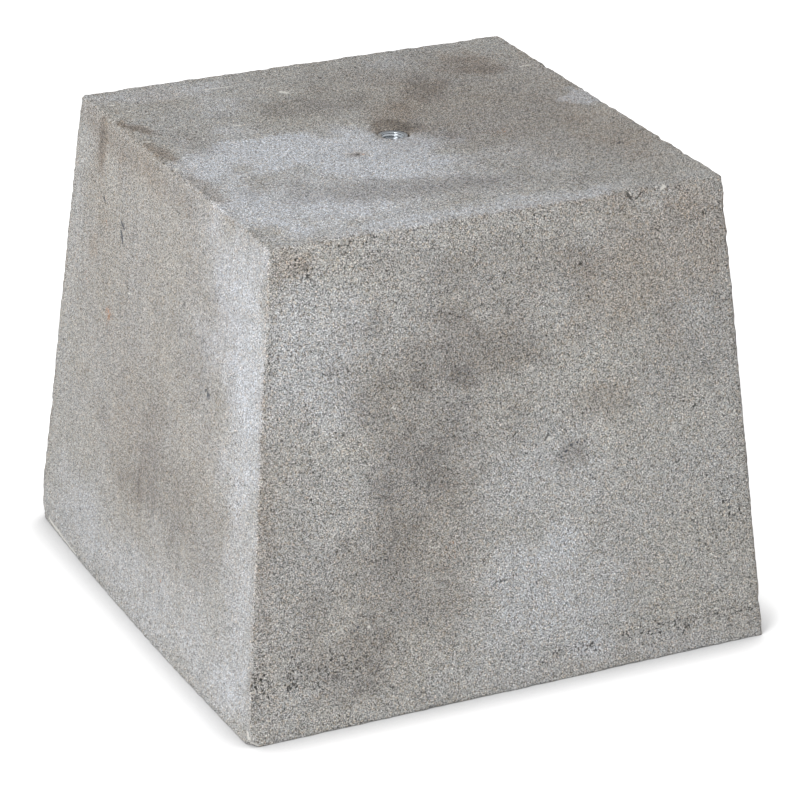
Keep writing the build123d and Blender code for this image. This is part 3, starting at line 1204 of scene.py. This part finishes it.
    def marked(self, skin: SkinPatterns, colour: Signal, form: BlockForm) -> Signal:
        """Adds the rust, the soot and the chips, and draws the cracks in painted shade.

        Args:
            skin: what the colour is worked out from.
            colour: the concrete without them.
            form: the block that the fine strokes lie on.
        Returns:
            The colour with them.
        """
        board = skin.board
        drawn = board.vector("MULTIPLY", board.place, (1.0, 1.0, 0.32))
        fibres = board.noise(drawn, self.fibre_size, 2.0, 0.6, 41.0)
        edges = skin.clots * 0.45 + skin.grit * 0.55
        # Cracks are drawn in the near-black colour of pores, as painted shade.
        for mark, noise, tint, share in (
                (Mark.RUST, fibres, self.rust, 0.55), (Mark.SOOT, fibres, self.soot, 0.8),
                (Mark.CHIPS, skin.clots, self.pale, 0.85),
                (Mark.CRACK, skin.clots, self.pit, 0.8)):
            laid = self.broken(skin.marks[mark], noise)
            laid = laid.larger(self.drawn(board, mark, edges, form))
            colour = board.colour(laid * share, colour, tint)
        return colour

    @staticmethod
    def relief(skin: SkinPatterns) -> Signal:
        """The height of the finest relief, for the bump.

        Args:
            skin: what the relief is worked out from.
        Returns:
            The height, about 0 to 2.
        """
        height = ((0.4 - skin.from_grain * 0.3) * skin.openness
                  + skin.grit * (skin.openness * 0.7 + 0.5) + skin.fine * 0.6
                  + skin.ragged * 0.3)
        return height - skin.hole * 0.9 - skin.crack * 0.8

    @staticmethod
    def layer(mark: Signal, ragged: Signal, patchy: Signal) -> Signal:
        """A painted mark with the unevenness of a thin film that has worn through in places."""
        return (mark * (1.0 + (patchy - 0.5) * 1.2 + (ragged - 0.5) * 1.4)).larger(0.0).smaller(1.2)

    @staticmethod
    def broken(mark: Signal, noise: Signal) -> Signal:
        """A painted mark broken up into the separate specks that a noise leaves of it."""
        return (noise + mark * 0.36 - 0.82).step(0.0, 0.05)

    def drawn(self, board: MaterialBoard, mark: Mark, noise: Signal,
              form: BlockForm) -> Signal | float:
        """Where this mark's fine strokes lie, with edges that a noise makes ragged.

        Each face's own depth counts for little, so that a stroke isn't lost in the relief.

        Args:
            board: the material's board.
            mark: which strokes.
            noise: about 0.5.
            form: the block that they lie on.
        Returns:
            0 to 1.
        """
        gap, places = None, {}
        for stroke in (one for one in self.strokes if one.mark is mark):
            side = stroke.side
            flat = Vector((1.0, 1.0, 1.0)) - self.flattened * Vector(np.abs(side.outward))
            if side not in places:
                places[side] = board.vector("MULTIPLY", board.place, tuple(flat))
            start, end = (Vector(form.on_face(side, *at)) * flat for at in (stroke.start, stroke.end))
            run, nearest = end - start, (start + end) / 2
            from_start = places[side]
            if run.length > self.shortest_run:
                from_start = board.vector("SUBTRACT", from_start, tuple(start))
                along = board.vector("DOT_PRODUCT", from_start, tuple(run / run.length_squared))
                nearest = board.vector("SCALE", tuple(run), scale=along.larger(0.0).smaller(1.0))
            near = board.vector("DISTANCE", from_start, nearest) - stroke.half_width
            gap = near if gap is None else gap.smaller(near)
        return 0.0 if gap is None else (gap + (noise - 0.5) * 2.0).step(0.2, -0.2)

    def streaks(self, board: MaterialBoard) -> Signal:
        """Faint upright streaks that the mould drew on the sides.

        Args:
            board: the material's board.
        Returns:
            How much brighter they make the concrete, about 0.
        """
        drawn = board.vector("MULTIPLY", board.place, (1.0, 1.0, 0.05))
        streaks = board.noise(drawn, self.streak_size, 2.0, 0.5, 3.0) - 0.5
        return streaks * 0.28 * board.attribute("streak")


@dataclass(frozen=True)
class Zinc:
    """Bright zinc plating, with smears of cement left by the casting."""

    metal: tuple[float, float, float] = seen(176, 181, 186)
    cement: tuple[float, float, float] = seen(150, 148, 144)
    bump: float = 0.12

    def material(self, name: str) -> bpy.types.Material:
        """Wires the finish.

        Args:
            name: the material's name.
        Returns:
            The material.
        """
        board = MaterialBoard(name)
        cloud = board.noise(board.place, 2.2, 3.0, 0.6)
        fine = board.noise(board.place, 0.35, 2.0, 0.6, 9.0)
        cement = (board.attribute("cement") + (cloud - 0.5) * 0.9).step(0.42, 0.62)
        metal = board.vector("SCALE", self.metal, scale=0.86 + cloud * 0.28)
        metal = board.vector("SCALE", metal, scale=1.0 - board.attribute("dulled") * 0.55)
        smear = board.vector("SCALE", self.cement, scale=0.8 + fine * 0.4)
        return board.finish({
            "Base Color": board.colour(cement, metal, smear), "Metallic": 1.0 - cement,
            "Roughness": 0.2 + cloud * 0.14 + cement * 0.5,
        }, cloud * 0.4 + fine * (0.15 + cement), self.bump * MM)


@dataclass(frozen=True)
class MillSteel:
    """Plain bar steel as it leaves the mill: dull grey scale with a trace of rust."""

    scale: tuple[float, float, float] = seen(112, 110, 110)
    rust: tuple[float, float, float] = seen(122, 84, 58)
    bump: float = 0.1

    def material(self, name: str) -> bpy.types.Material:
        """Wires the finish.

        Args:
            name: the material's name.
        Returns:
            The material.
        """
        board = MaterialBoard(name)
        cloud = board.noise(board.place, 5.0, 4.0, 0.6)
        fine = board.noise(board.place, 0.5, 2.0, 0.6, 9.0)
        rusty = cloud.step(0.54, 0.66)
        clean = board.vector("SCALE", self.scale, scale=0.8 + fine * 0.4)
        return board.finish({
            "Base Color": board.colour(rusty, clean, self.rust), "Metallic": 0.9 - rusty * 0.7,
            "Roughness": 0.45 + rusty * 0.35}, fine + rusty * 0.5, self.bump * MM)


@dataclass
class Casting:
    """The concrete casting with its weathered skin and the sand that stands out of it.

    Sizes are in millimetres, and densities in grains to the square metre. crumble_reach,
    scuff_and_shade_reach and open_reach are how far in from the arrises these wear off, the scuffing
    with partly painted shade, and well_reach is how far from the socket's axis the skin belongs to the
    hole round it.
    """

    form: BlockForm = field(default_factory=BlockForm)
    finish: Concrete = field(default_factory=Concrete)
    openness: dict[Side, float] = field(default_factory=lambda: {
        Side.TOP: 0.35, Side.LEFT: 0.45, Side.FRONT: 1.0, Side.RIGHT: 0.8, Side.BACK: 0.6})
    contrast: dict[Side, float] = field(default_factory=lambda: {
        Side.TOP: 1.6, Side.LEFT: 1.27, Side.FRONT: 1.4, Side.RIGHT: 1.25, Side.BACK: 1.25})
    crumble_reach: float = 4.0
    scuff_and_shade_reach: float = 3.5
    open_reach: float = 8.0
    well_reach: float = 13.0
    relief: dict[str, float] = field(default_factory=lambda: {
        "Swell": 0.35, "Grain Height": 0.16, "Grain Size": 4.6, "Crumble Height": 0.7,
        "Pit Depth": 0.9, "Pit Size": 6.5})
    relief_seed: int = 4
    first_mark_seed: int = 100
    sand: dict[str, tuple[Side, ...]] = field(default_factory=lambda: {
        "sand_front": (Side.FRONT,), "sand_left": (Side.LEFT,), "sand_top": (Side.TOP,),
        "sand_far": (Side.RIGHT, Side.BACK)})
    sand_density: dict[str, float] = field(default_factory=lambda: {
        "sand_front": 120_000.0, "sand_left": 90_000.0, "sand_top": 90_000.0,
        "sand_far": 50_000.0})
    sand_size: float = 0.68
    sand_sink: float = 0.25
    sand_seed: int = 31

    def build(self) -> list[bpy.types.Object]:
        """Makes the casting and its sand, dressed and riding on the frame.

        Returns:
            The casting, then its sand.
        """
        points, faces, outside = self.mesh()
        block = make_piece("weathered_block", points * MM, faces)
        self.paint(block, points, outside)
        ReliefTree("block_relief", {
            **self.relief, "Seed": self.relief_seed,
            "Material": self.finish.material("cast_concrete", self.form)}).grow(block)
        self.keep_above_ground(block)
        pieces = [block, *self.stand_sand(block)]
        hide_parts("pier_block")
        for piece in pieces:
            piece.data.shade_smooth()
            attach(piece, "root")
        return pieces

    def mesh(self) -> tuple[np.ndarray, list[np.ndarray], int]:
        """Joins the skin to the rings that lead down into the hole round the socket.

        Returns:
            The points in millimetres, the faces by point number, and how many of the points
            lie on the outer skin.
        """
        skin, sides, window = self.form.skin()
        skin = self.form.broken(skin)
        rings, width = self.form.well(skin[window])
        used = np.unique(np.concatenate([side.ravel() for side in sides]))
        number = np.full(len(skin), -1)
        number[used] = np.arange(len(used))
        loops = [number[window], *(len(used) + np.arange(len(rings)).reshape(-1, width))]
        quads = [number[side] for side in sides]
        for outer, inner in zip(loops, loops[1:]):
            quads.append(np.stack([outer, np.roll(outer, -1), np.roll(inner, -1), inner], axis=1))
        faces = [*np.concatenate(quads), loops[-1]]
        return np.concatenate([skin[used], rings]), faces, len(used)

    def paint(self, block: bpy.types.Object, points: np.ndarray, outside: int) -> None:
        """Gives the skin its values: how open, worn, marked and loose it is at each point, and how much
        shade is painted along its arrises.

        Args:
            block: the piece.
            points: its points, in millimetres.
            outside: how many of them lie on the outer skin, before the rings round the socket.
        """
        facing = self.facing(block)
        total = sum(facing.values()) + 1e-6
        from_arris, from_rim = self.insets(points)
        openness, contrast = (sum(facing[side] * value for side, value in values.items()) / total
                              for values in (self.openness, self.contrast))
        openness = openness + 0.45 * np.exp(-from_arris / self.open_reach) * (
            facing[Side.TOP] + facing[Side.LEFT])
        carry(block, "edge", np.exp(-from_arris / self.crumble_reach))
        # The mask along the arrises that aren't at the foot browns and darkens the concrete: partly
        # worn edges, partly painted shade.
        uneven = 1 + 0.5 * drift(points, 26.0, 61)
        carry(block, "scuff_and_shade", np.exp(-from_rim / self.scuff_and_shade_reach) * uneven)
        carry(block, "openness", openness)
        carry(block, "contrast", contrast)
        carry(block, "streak", np.clip(1 - facing[Side.TOP], 0, 1) * (facing[Side.LEFT] + 0.45))
        carry(block, "loose", self.looseness(points, outside))

        from_socket = np.hypot(points[:, 0], points[:, 1])
        near_well = self.on_top(points) & (from_socket < self.well_reach)
        facing[Side.TOP] = np.where(near_well, 1.0, facing[Side.TOP])
        values = {mark: np.zeros(len(points)) for mark in Mark}
        for seed, patch in enumerate((*marks_seen(), *marks_guessed()), self.first_mark_seed):
            values[patch.mark] += patch.weight(points, seed) * facing[patch.side]
        for mark, value in values.items():
            carry(block, mark.value, value)
        outer = (np.arange(len(points)) < outside) & (from_socket > self.well_reach - 1)
        for name, sides in self.sand.items():
            share = sum(facing[side] for side in sides) * outer
            carry(block, name, np.clip(share, 0, 1) * np.clip(0.35 + openness * 0.8, 0, 1))

    @staticmethod
    def facing(block: bpy.types.Object) -> dict[Side, np.ndarray]:
        """How much each vertex of the block belongs to each face.

        Args:
            block: the piece.
        Returns:
            0 to 1 for each vertex, by face.
        """
        normals = np.empty(len(block.data.vertices) * 3)
        block.data.vertices.foreach_get("normal", normals)
        normals = normals.reshape(-1, 3)
        return {side: np.clip((normals @ side.outward - 0.45) / 0.4, 0, 1) for side in Side}

    def insets(self, points: np.ndarray) -> tuple[np.ndarray, np.ndarray]:
        """How far each point lies from the block's arrises.

        Args:
            points: the points, in millimetres.
        Returns:
            The distance from the nearest arris, and from the nearest one that isn't at the foot.
        """
        half, height = self.form.half_at(points[:, 2]), points[:, 2]
        insets = np.stack([half - np.abs(points[:, 0]), half - np.abs(points[:, 1]),
                           self.form.height - height, height])
        return np.sort(insets, axis=0)[1], np.sort(insets[:3], axis=0)[1]

    def on_top(self, points: np.ndarray) -> np.ndarray:
        """Which points lie on the top face or no more than 3 mm below it."""
        return points[:, 2] > self.form.height - 3

    def looseness(self, points: np.ndarray, outside: int) -> np.ndarray:
        """How freely the relief may move each point, so that it keeps clear of the socket.

        Args:
            points: the points, in millimetres.
            outside: how many of them lie on the outer skin.
        Returns:
            0 to 1 for each point.
        """
        from_socket = np.hypot(points[:, 0], points[:, 1])
        on_top = self.on_top(points)
        loose = np.ones(len(points))
        loose[outside:] = 0.25
        loose = np.where(on_top, loose * np.clip((from_socket - 7.0) / 6.0, 0.1, 1), loose)
        return np.where((from_socket < 9) & ~on_top, 0.0, loose)

    @staticmethod
    def keep_above_ground(block: bpy.types.Object) -> None:
        """Flattens onto the ground what the relief moved below it.

        Args:
            block: the piece.
        """
        mesh = block.data
        points = np.empty(len(mesh.vertices) * 3)
        mesh.vertices.foreach_get("co", points)
        points[2::3] = np.maximum(points[2::3], 0.0)
        mesh.vertices.foreach_set("co", points)
        mesh.update()

    def stand_sand(self, block: bpy.types.Object) -> list[bpy.types.Object]:
        """Grows the loose sand of each group of faces on a copy of the finished skin.

        Args:
            block: the casting.
        Returns:
            A piece for each group of faces.
        """
        finish = replace(self.finish, loose_sand=True, strokes=())
        material = finish.material("sand_grains", self.form)
        pieces = []
        for seed, (name, density) in enumerate(self.sand_density.items()):
            piece = bpy.data.objects.new("surface_" + name, block.data.copy())
            bpy.context.scene.collection.objects.link(piece)
            pieces.append(SandTree(name, name, {
                "Grain Size": self.sand_size, "Density": density, "Sink": self.sand_sink,
                "Seed": self.sand_seed + seed, "Material": material}).grow(piece))
        return pieces


class ThreadTree(GeometryBoard):
    """Cuts a helical thread into the wall of a plain bore about the Z axis."""

    def __init__(self, name: str, inputs: dict[str, Any]) -> None:
        """Wires the tree.

        Args:
            name: the tree's name.
            inputs: Pitch, Depth, Top, Bottom and Core Radius in millimetres, and the Material.
        """
        super().__init__(name, inputs)
        place = self.vector("SCALE", self.signal("GeometryNodeInputPosition", 0), scale=1 / MM)
        parts = self.node("ShaderNodeSeparateXYZ", None, {0: place})
        x, y, z = (Signal(self, parts.outputs[axis]) for axis in "XYZ")
        turn = self.signal("ShaderNodeMath", 0, {"operation": "ARCTAN2"}, {0: y, 1: x}) / (2 * math.pi)
        phase = self.signal("ShaderNodeMath", 0, {"operation": "FRACT"},
                            {0: z / self.given("Pitch") - turn + 10.0})
        # Shares of half a turn: a flat root, then the flank, then a flat crest.
        root, slope = 0.12, 0.76
        flank = ((0.5 - abs(phase - 0.5)) * 2 - root).larger(0.0).smaller(slope) / slope
        radius = (x * x + y * y) ** 0.5
        on_wall = (radius.below(self.given("Core Radius") + 0.6)
                   * z.step(self.given("Top") + 0.3, self.given("Top") - 0.5)
                   * z.step(self.given("Bottom"), self.given("Bottom") + 1.5)
                   * radius.step(self.given("Core Radius") - 1.0, self.given("Core Radius") - 0.5))
        push = flank * on_wall * self.given("Depth") / radius.larger(1.0)
        flat = self.vector("MULTIPLY", place, (1.0, 1.0, 0.0))
        offset = self.vector("SCALE", flat, scale=push * MM)
        self.close(self.node("GeometryNodeSetPosition", None,
                             {"Geometry": self.given("Geometry"), "Offset": offset}).outputs[0])


@dataclass
class Socket:
    """The turned steel socket with its M12 thread, in millimetres, at the frame's place.

    The mesh has columns round the axis, and so many rows up the wall, round the rim, down the
    mouth and along the drill point. axis_gap is the radius that its two end faces keep, and
    rim_zone how far down from the rim the metal is dulled and smeared with cement.
    """

    columns: int = 96
    wall_rows: int = 24
    rim_rows: int = 6
    mouth_rows: int = 6
    point_rows: int = 4
    rows_to_a_pitch: int = 8
    pitch: float = 1.75
    thread_depth: float = 0.86
    thread_length: float = 40.0
    core_radius: float = 5.125
    mouth_radius: float = 6.2
    point_height: float = 3.08
    chamfer: float = 0.5
    rim_round: float = 0.35
    lip_drop: float = 0.14
    axis_gap: float = 0.01
    rim_zone: float = 2.0
    finish: Zinc = field(default_factory=Zinc)

    def profile(self, foot: float, rim: float, radius: float) -> list[tuple[float, float]]:
        """The socket's half section from its closed end, round the rim and down the bore.

        Args:
            foot, rim: the heights of its two ends.
            radius: its outer radius.
        Returns:
            Radius and height of each row.
        """
        bottom, wall = foot + self.chamfer, rim - foot - 2 * self.chamfer
        rows = [(self.axis_gap, foot), (2.0, foot), (radius - self.chamfer, foot), (radius, bottom)]
        rows += [(radius, bottom + wall * k / self.wall_rows) for k in range(1, self.wall_rows + 1)]
        for k in range(self.rim_rows + 1):
            turn = math.pi / 2 * k / self.rim_rows
            rows.append((radius - self.rim_round * (1 - math.cos(turn)),
                         rim - self.rim_round * (1 - math.sin(turn))))
        mouth, lip = self.mouth_radius, rim - self.lip_drop
        rows += [(radius - 0.8, rim), (mouth + 0.25, rim), (mouth + 0.08, rim - 0.04), (mouth, lip)]
        deep = mouth - self.core_radius
        rows += [(mouth - deep * k / self.mouth_rows, lip - deep * k / self.mouth_rows)
                 for k in range(1, self.mouth_rows + 1)]
        start, end = rows[-1][1], rim - self.thread_length
        steps = int((start - end) / self.pitch * self.rows_to_a_pitch)
        rows += [(self.core_radius, start + (end - start) * k / steps) for k in range(1, steps + 1)]
        rows += [(self.core_radius * (1 - k / self.point_rows) + self.axis_gap,
                  end - self.point_height * k / self.point_rows)
                 for k in range(1, self.point_rows + 1)]
        return rows

    def build(self) -> bpy.types.Object:
        """Turns the section round the axis, cuts the thread and dresses the socket.

        Returns:
            The socket.
        """
        low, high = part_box("threaded_socket")
        rim = high.z / MM
        rows = self.profile(low.z / MM, rim, high.x / MM)
        turns = np.arange(self.columns) * 2 * math.pi / self.columns
        points = np.concatenate([np.stack([radius * np.cos(turns), radius * np.sin(turns),
                                           np.full(self.columns, z)], axis=1) for radius, z in rows])
        loops = np.arange(len(points)).reshape(len(rows), self.columns)
        quads = [np.stack([lower, np.roll(lower, -1), np.roll(upper, -1), upper], axis=1)
                 for lower, upper in zip(loops, loops[1:])]
        faces = [*np.concatenate(quads), loops[0][::-1], loops[-1]]
        piece = make_piece("zinc_socket", points * MM, faces)
        self.weather(piece, points, rim)
        ThreadTree("thread", {
            "Pitch": self.pitch, "Depth": self.thread_depth, "Top": rim - 0.8,
            "Bottom": rim - self.thread_length, "Core Radius": self.core_radius,
            "Material": self.finish.material("zinc_plated_steel")}).grow(piece)
        piece.data.shade_smooth()
        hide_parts("threaded_socket")
        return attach(piece, "root")

    def weather(self, piece: bpy.types.Object, points: np.ndarray, rim: float) -> None:
        """Dulls the metal near the rim and smears one side of it with cement.

        Args:
            piece: the socket.
            points: its points, in millimetres.
            rim: the height of its rim.
        """
        outside = np.hypot(points[:, 0], points[:, 1]) > self.mouth_radius - 0.3
        near_rim = np.clip((points[:, 2] - rim + self.rim_zone) / 1.5, 0, 1) * outside
        turn = np.arctan2(points[:, 1], points[:, 0])
        carry(piece, "cement", near_rim * np.clip(0.2 + 0.8 * np.cos(turn + 2.75), 0, 1))
        carry(piece, "dulled", near_rim)


@dataclass
class CrossBar:
    """The bar that anchors the socket in the concrete, as the frame has it."""

    finish: MillSteel = field(default_factory=MillSteel)

    def dress(self) -> bpy.types.Object:
        """Gives the frame's own bar its finish.

        Returns:
            The bar.
        """
        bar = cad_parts["cross_bar"]
        material = self.finish.material("mill_steel")
        if bar.material_slots:
            for place in bar.material_slots:
                place.material = material
        else:
            bar.data.materials.append(material)
        return bar


@dataclass
class Studio:
    """A pale floor, plain soft light and the camera at the photograph's angle.

    Lengths are in metres and angles in radians. focal_share is the focal length as a share of the
    picture's width, and shadow_reach how far from the block the painted shadow round its foot darkens
    the floor.
    """

    azimuth: float = -0.4493
    elevation: float = 0.4152
    roll: float = 0.0083
    distance: float = 1.894
    target: tuple[float, float, float] = (-0.01955, -0.05193, 0.1289)
    focal_share: float = 3612.2 / 800
    surround: float = 0.50
    key_power: float = 27.5
    key_place: tuple[float, float, float] = (-1.45, -0.92, 1.22)
    key_size: float = 1.1
    floor_size: float = 9.0
    floor_lift: float = 0.75
    shadow_reach: float = 0.031
    floor_colour: tuple[float, float, float] = (0.8, 0.8, 0.8)
    shadow_colour: tuple[float, float, float] = (0.36, 0.36, 0.37)

    def build(self) -> None:
        """Sets up floor, surround, lamp and camera."""
        scene = bpy.context.scene
        scene.view_settings.view_transform = "Standard"
        self.build_floor()
        self.build_surround(scene)
        self.build_key()
        self.build_camera(scene)

    def build_floor(self) -> None:
        """A wide sheet that looks white to the camera, with a painted shadow: an occlusion term darkens
        its colour and its emission close to the block's foot.
        """
        black, white, half = (0.0,) * 3, (1.0,) * 3, self.floor_size / 2
        corners = np.array([(-half, -half, 0), (half, -half, 0), (half, half, 0), (-half, half, 0)])
        floor = make_piece("floor", corners, [(0, 1, 2, 3)])
        board = MaterialBoard("pale_floor")
        open_sky = board.signal("ShaderNodeAmbientOcclusion", "AO", {"samples": 12},
                                {"Distance": self.shadow_reach})
        paths = board.node("ShaderNodeLightPath")
        # Painted shadow: near the block's foot the occlusion darkens the emission that the camera sees
        # and the floor's colour.
        glow_with_painted_shadow = board.colour(open_sky ** 2.15, black, white)
        glow_with_painted_shadow = board.colour(paths.outputs["Is Camera Ray"], black, glow_with_painted_shadow)
        board.finish({
            "Base Color": board.colour(open_sky ** 1.5, self.shadow_colour, self.floor_colour),
            "Roughness": 0.9, "Emission Color": glow_with_painted_shadow, "Emission Strength": self.floor_lift})
        floor.data.materials.append(board.material)

    def build_surround(self, scene: bpy.types.Scene) -> None:
        """Soft grey light from all round, which the camera and the metal see as white.

        Args:
            scene: the scene that gets it as its world.
        """
        world = scene.world or bpy.data.worlds.new("surround")
        scene.world = world
        world.use_nodes = True
        board = Board(world.node_tree)
        paths = board.node("ShaderNodeLightPath")
        camera, glossy, through = (Signal(board, paths.outputs[f"Is {name} Ray"])
                                   for name in ("Camera", "Glossy", "Transmission"))
        looked_at = (camera + glossy + through).smaller(1.0)
        colour = board.colour(looked_at, (self.surround,) * 3, (1.0,) * 3)
        light = board.node("ShaderNodeBackground", None, {"Color": colour, "Strength": 1.0})
        board.node("ShaderNodeOutputWorld", None, {"Surface": light.outputs[0]})

    def build_key(self) -> None:
        """One large lamp from the front left."""
        lamp = bpy.data.lights.new("key", "AREA")
        lamp.shape, lamp.size, lamp.energy = "DISK", self.key_size, self.key_power
        key = bpy.data.objects.new("key", lamp)
        place = Vector(self.key_place)
        key.matrix_world = Matrix.Translation(place) @ (
            (Vector((0, 0, 0.13)) - place).to_track_quat("-Z", "Y").to_matrix().to_4x4())
        bpy.context.scene.collection.objects.link(key)

    def build_camera(self, scene: bpy.types.Scene) -> None:
        """The camera, rolled about its own axis as the photograph's was.

        Args:
            scene: the scene that looks through it.
        """
        lens = bpy.data.cameras.new("camera")
        lens.sensor_width = 36.0
        lens.lens = self.focal_share * lens.sensor_width
        lens.clip_end = 50.0
        away = Vector((math.sin(self.azimuth) * math.cos(self.elevation),
                       -math.cos(self.azimuth) * math.cos(self.elevation), math.sin(self.elevation)))
        right = (-away).cross(Vector((0, 0, 1))).normalized()
        up = right.cross(-away)
        turned = math.cos(self.roll) * right + math.sin(self.roll) * up
        upright = -math.sin(self.roll) * right + math.cos(self.roll) * up
        pose = Matrix((turned, upright, away)).transposed().to_4x4()
        camera = bpy.data.objects.new("camera", lens)
        camera.matrix_world = Matrix.Translation(Vector(self.target) + away * self.distance) @ pose
        scene.collection.objects.link(camera)
        scene.camera = camera


def main() -> None:
    """Builds the block, its socket and the studio."""
    logging.basicConfig(level=logging.INFO, format="%(message)s")
    pieces = [*Casting().build(), Socket().build(), CrossBar().dress()]
    for piece in pieces:
        piece.data.calc_loop_triangles()
        LOG.info("%s: %d triangles", piece.name, len(piece.data.loop_triangles))
    Studio().build()


if __name__ == "__main__":
    main()
